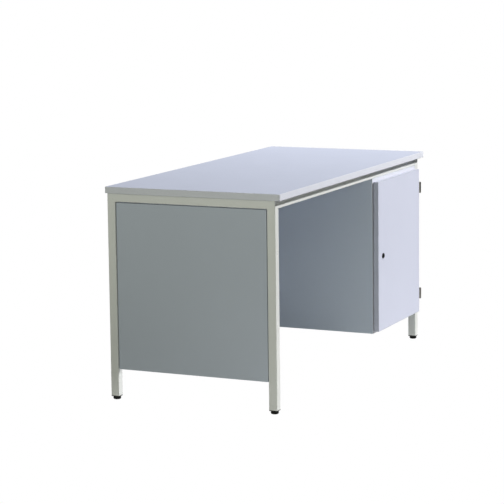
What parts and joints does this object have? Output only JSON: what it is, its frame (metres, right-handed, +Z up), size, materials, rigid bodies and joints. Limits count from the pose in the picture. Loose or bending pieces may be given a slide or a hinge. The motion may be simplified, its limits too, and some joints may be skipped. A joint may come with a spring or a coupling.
{
  "type": "teacher desk",
  "caption": "Rectangular desk on a welded square-tube frame, with end and modesty panels and, at the right, a hung cupboard with a shelf behind a hinged locking door.",
  "frame": {"origin": "on the floor under the middle of the tabletop", "axes": "+X along the desk towards the cupboard, -Y towards the sitter and the cupboard's door, +Z up"},
  "size_m": [1.4, 0.6555, 0.74],
  "materials": {
    "tabletop_laminate": "pale grey laminate on chipboard, finely textured",
    "tabletop_band": "smooth edge band",
    "frame_enamel": "stoved light grey enamel, semi-gloss",
    "foot_plastic": "moulded black plastic",
    "panel_melamine": "pale grey melamine on chipboard",
    "cabinet_melamine": "pale grey melamine on chipboard",
    "cabinet_band": "smooth edge band",
    "door_melamine": "pale grey melamine on chipboard",
    "door_band": "smooth edge band",
    "dowel_beech": "fluted beech",
    "buffer_rubber": "soft pale rubber",
    "hinge_nickel": "nickel plate",
    "lock_metal": "dark nickel plate",
    "zinc_plate": "bright zinc plate",
    "screw_zinc": "bright zinc plate"
  },
  "bodies": {
    "frame": {"cabinet_back": "cabinet_melamine", "cabinet_bottom": "cabinet_melamine", "cabinet_dowels": "dowel_beech", "cabinet_edge_bands": "cabinet_band", "cabinet_side_left": "cabinet_melamine", "cabinet_side_right": "cabinet_melamine", "cabinet_top": "cabinet_melamine", "door_buffers": "buffer_rubber", "foot_front_left": "foot_plastic", "foot_front_right": "foot_plastic", "foot_rear_left": "foot_plastic", "foot_rear_right": "foot_plastic", "hanger_bolts": "screw_zinc", "hanger_nuts": "screw_zinc", "hanger_tabs": "frame_enamel", "hinge_cabinet_screws": "screw_zinc", "hinge_lower_fixed_leaf": "hinge_nickel", "hinge_lower_pin": "hinge_nickel", "hinge_upper_fixed_leaf": "hinge_nickel", "hinge_upper_pin": "hinge_nickel", "left_end_panel": "panel_melamine", "leg_front_left": "frame_enamel", "leg_front_right": "frame_enamel", "leg_rear_left": "frame_enamel", "leg_rear_right": "frame_enamel", "lock_strike": "zinc_plate", "modesty_panel": "panel_melamine", "panel_screws": "screw_zinc", "panel_tabs": "frame_enamel", "rail_front": "frame_enamel", "rail_left": "frame_enamel", "rail_rear": "frame_enamel", "rail_right": "frame_enamel", "right_end_panel": "panel_melamine", "shelf": "cabinet_melamine", "shelf_edge_band": "cabinet_band", "shelf_pegs": "zinc_plate", "strike_screws": "screw_zinc", "tabletop_board": "tabletop_laminate", "tabletop_edge_band": "tabletop_band", "top_screws": "screw_zinc", "top_tabs": "frame_enamel"},
    "door": {"door_board": "door_melamine", "door_edge_band": "door_band", "hinge_door_screws": "screw_zinc", "hinge_lower_door_leaf": "hinge_nickel", "hinge_upper_door_leaf": "hinge_nickel", "lock_housing": "lock_metal", "lock_nut": "zinc_plate"},
    "lock": {"lock_plug": "lock_metal", "lock_cam": "zinc_plate", "lock_cam_screw": "screw_zinc"}
  },
  "joints": [
    {"name": "door_hinge", "type": "hinge", "parent": "frame", "child": "door", "pos_m": [0.6535, -0.325, 0.396], "axis": [0, 0, 1], "range_deg": [0, 180]},
    {"name": "lock_turn", "type": "hinge", "parent": "door", "child": "lock", "pos_m": [0.25, -0.325, 0.396], "axis": [0, 1, 0], "range_deg": [0, 90]}
  ]
}
